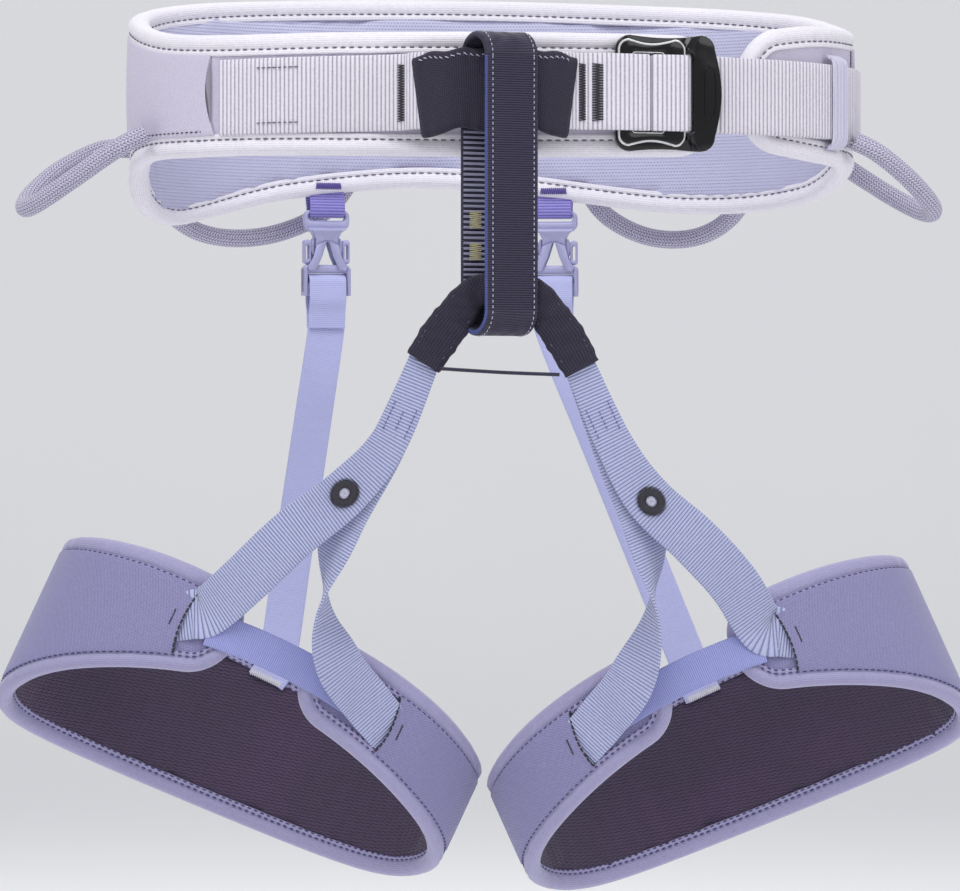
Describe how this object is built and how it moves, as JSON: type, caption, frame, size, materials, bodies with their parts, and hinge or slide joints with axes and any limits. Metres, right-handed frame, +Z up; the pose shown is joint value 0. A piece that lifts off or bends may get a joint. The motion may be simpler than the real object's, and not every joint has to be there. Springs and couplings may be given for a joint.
{
  "type": "climbing harness",
  "caption": "Sit harness with a padded waist belt, forged waist buckle, belay loop, hanging gear loops and two padded leg loops on webbing and elastic rear straps.",
  "frame": {"origin": "middle of the waist belt's opening, level with the middle of the waist webbing", "axes": "+Z up along the wearer's body, -Y to the wearer's front, +X to the right of someone facing the harness's front"},
  "size_m": [0.4905, 0.2419, 0.4579],
  "materials": {
    "belt_lining": "lavender-blue knitted mesh",
    "belt_shell": "smooth pale lavender woven fabric",
    "belt_binding": "soft white rolled binding",
    "foam": "closed-cell foam sheet",
    "waist_webbing": "white ribbed webbing",
    "tie_in_sleeve": "dark hard-wearing woven sleeve",
    "belay_webbing": "dense dark sewn webbing",
    "buckle_metal": "black anodised",
    "leg_webbing": "lavender ribbed webbing",
    "elastic": "lavender elastic webbing",
    "buckle_plastic": "moulded lavender-grey plastic",
    "gear_cord": "braided sheath over a stiff core",
    "bridge_elastic": "dark thin shock cord",
    "leg_lining": "dark purple knitted mesh",
    "leg_shell": "lavender woven stretch fabric",
    "leg_binding": "lavender rolled binding"
  },
  "bodies": {
    "belt": {"belt_keeper": "elastic", "buckle_frame": "buckle_metal", "gear_tab_inner_left": "elastic", "gear_tab_inner_right": "elastic", "gear_tab_outer_left": "elastic", "gear_tab_outer_right": "elastic", "hip_panel_left": "belt_shell", "hip_panel_right": "belt_shell", "leg_bridge_cord": "bridge_elastic", "leg_tie_in_sleeve": "tie_in_sleeve", "rear_buckle_anchor_left": "buckle_plastic", "rear_buckle_anchor_right": "buckle_plastic", "rear_keeper": "elastic", "rear_strap_left": "elastic", "rear_strap_right": "elastic", "rear_tab_left": "elastic", "rear_tab_right": "elastic", "waist_binding": "belt_binding", "waist_foam": "foam", "waist_lining": "belt_lining", "waist_shell": "belt_shell", "waist_strap": "waist_webbing", "waist_tie_in_sleeve": "tie_in_sleeve", "waist_webbing_left": "waist_webbing", "waist_webbing_right": "waist_webbing"},
    "belay_loop": {"belay_loop": "belay_webbing"},
    "buckle_slider": {"buckle_slider": "buckle_metal"},
    "leg_left": {"leg_lining_left": "leg_lining", "leg_foam_left": "foam", "leg_shell_left": "leg_shell", "leg_binding_left": "leg_binding", "pocket_outer_left": "leg_shell", "pocket_inner_left": "leg_shell", "leg_webbing_outer_left": "leg_webbing", "leg_webbing_inner_left": "leg_webbing", "leg_link_left": "elastic"},
    "gear_front_left": {"gear_loop_front_left": "gear_cord"},
    "gear_rear_left": {"gear_loop_rear_left": "gear_cord"},
    "socket_left": {"rear_buckle_socket_left": "buckle_plastic", "rear_strap_turn_left": "elastic"},
    "arm_near_left": {"rear_buckle_arm_near_left": "buckle_plastic"},
    "arm_far_left": {"rear_buckle_arm_far_left": "buckle_plastic"},
    "leg_right": {"leg_lining_right": "leg_lining", "leg_foam_right": "foam", "leg_shell_right": "leg_shell", "leg_binding_right": "leg_binding", "pocket_outer_right": "leg_shell", "pocket_inner_right": "leg_shell", "leg_webbing_outer_right": "leg_webbing", "leg_webbing_inner_right": "leg_webbing", "leg_link_right": "elastic"},
    "gear_front_right": {"gear_loop_front_right": "gear_cord"},
    "gear_rear_right": {"gear_loop_rear_right": "gear_cord"},
    "socket_right": {"rear_buckle_socket_right": "buckle_plastic", "rear_strap_turn_right": "elastic"},
    "arm_near_right": {"rear_buckle_arm_near_right": "buckle_plastic"},
    "arm_far_right": {"rear_buckle_arm_far_right": "buckle_plastic"}
  },
  "joints": [
    {"name": "belay_twist", "type": "hinge", "parent": "belt", "child": "belay_loop", "pos_m": [0.008, -0.116, 0], "axis": [0, 0, 1], "range_deg": [-30, 1]},
    {"name": "slider_release", "type": "slide", "parent": "belt", "child": "buckle_slider", "axis": [-0.9651, -0.2618, 0], "range_m": [0, 0.003]},
    {"name": "gear_front_left_swing", "type": "hinge", "parent": "belt", "child": "gear_front_left", "pos_m": [-0.17104, -0.03804, -0.015], "axis": [-0.1282, 0.9872, -0.0953], "range_deg": [-30, 40], "stiffness_Nm_per_rad": 0.12},
    {"name": "gear_front_right_swing", "type": "hinge", "parent": "belt", "child": "gear_front_right", "pos_m": [0.1833, -0.02589, -0.024], "axis": [-0.0648, 0.9978, -0.017], "range_deg": [-40, 25], "stiffness_Nm_per_rad": 0.12},
    {"name": "gear_rear_left_swing", "type": "hinge", "parent": "belt", "child": "gear_rear_left", "pos_m": [-0.16573, 0.04465, -0.019], "axis": [0.8899, 0.4562, 0], "range_deg": [0, 60]},
    {"name": "gear_rear_right_swing", "type": "hinge", "parent": "belt", "child": "gear_rear_right", "pos_m": [0.13524, 0.07196, -0.019], "axis": [0.9548, -0.2974, 0], "range_deg": [0, 60]},
    {"name": "leg_left_lift", "type": "hinge", "parent": "belt", "child": "leg_left", "pos_m": [-0.029, -0.1122, -0.1262], "axis": [-1, 0, 0], "range_deg": [0, 35], "stiffness_Nm_per_rad": 0.2, "springref_deg": -45.84, "deforming": ["rear_strap_left"]},
    {"name": "socket_left_release", "type": "slide", "parent": "belt", "child": "socket_left", "axis": [0, 0, -1], "range_m": [0, 0.008]},
    {"name": "arm_near_left_squeeze", "type": "hinge", "parent": "belt", "child": "arm_near_left", "pos_m": [-0.07561, 0.08158, -0.059], "axis": [-0.2787, 0.9604, 0], "range_deg": [0, 7], "stiffness_Nm_per_rad": 0.2},
    {"name": "arm_far_left_squeeze", "type": "hinge", "parent": "belt", "child": "arm_far_left", "pos_m": [-0.09059, 0.07723, -0.059], "axis": [0.2787, -0.9604, 0], "range_deg": [0, 7], "stiffness_Nm_per_rad": 0.2},
    {"name": "leg_right_lift", "type": "hinge", "parent": "belt", "child": "leg_right", "pos_m": [0.044, -0.1122, -0.1292], "axis": [-1, 0, 0], "range_deg": [0, 35], "stiffness_Nm_per_rad": 0.2, "springref_deg": -45.84, "deforming": ["rear_strap_right"]},
    {"name": "socket_right_release", "type": "slide", "parent": "belt", "child": "socket_right", "axis": [0, 0, -1], "range_m": [0, 0.008]},
    {"name": "arm_near_right_squeeze", "type": "hinge", "parent": "belt", "child": "arm_near_right", "pos_m": [0.04359, 0.08856, -0.059], "axis": [0.1002, 0.995, 0], "range_deg": [0, 7], "stiffness_Nm_per_rad": 0.2},
    {"name": "arm_far_right_squeeze", "type": "hinge", "parent": "belt", "child": "arm_far_right", "pos_m": [0.02807, 0.09012, -0.059], "axis": [-0.1002, -0.995, 0], "range_deg": [0, 7], "stiffness_Nm_per_rad": 0.2}
  ],
  "couplings": [
    {"joint": "arm_far_left_squeeze", "follows": "arm_near_left_squeeze", "ratio": 1},
    {"joint": "arm_far_right_squeeze", "follows": "arm_near_right_squeeze", "ratio": 1}
  ]
}
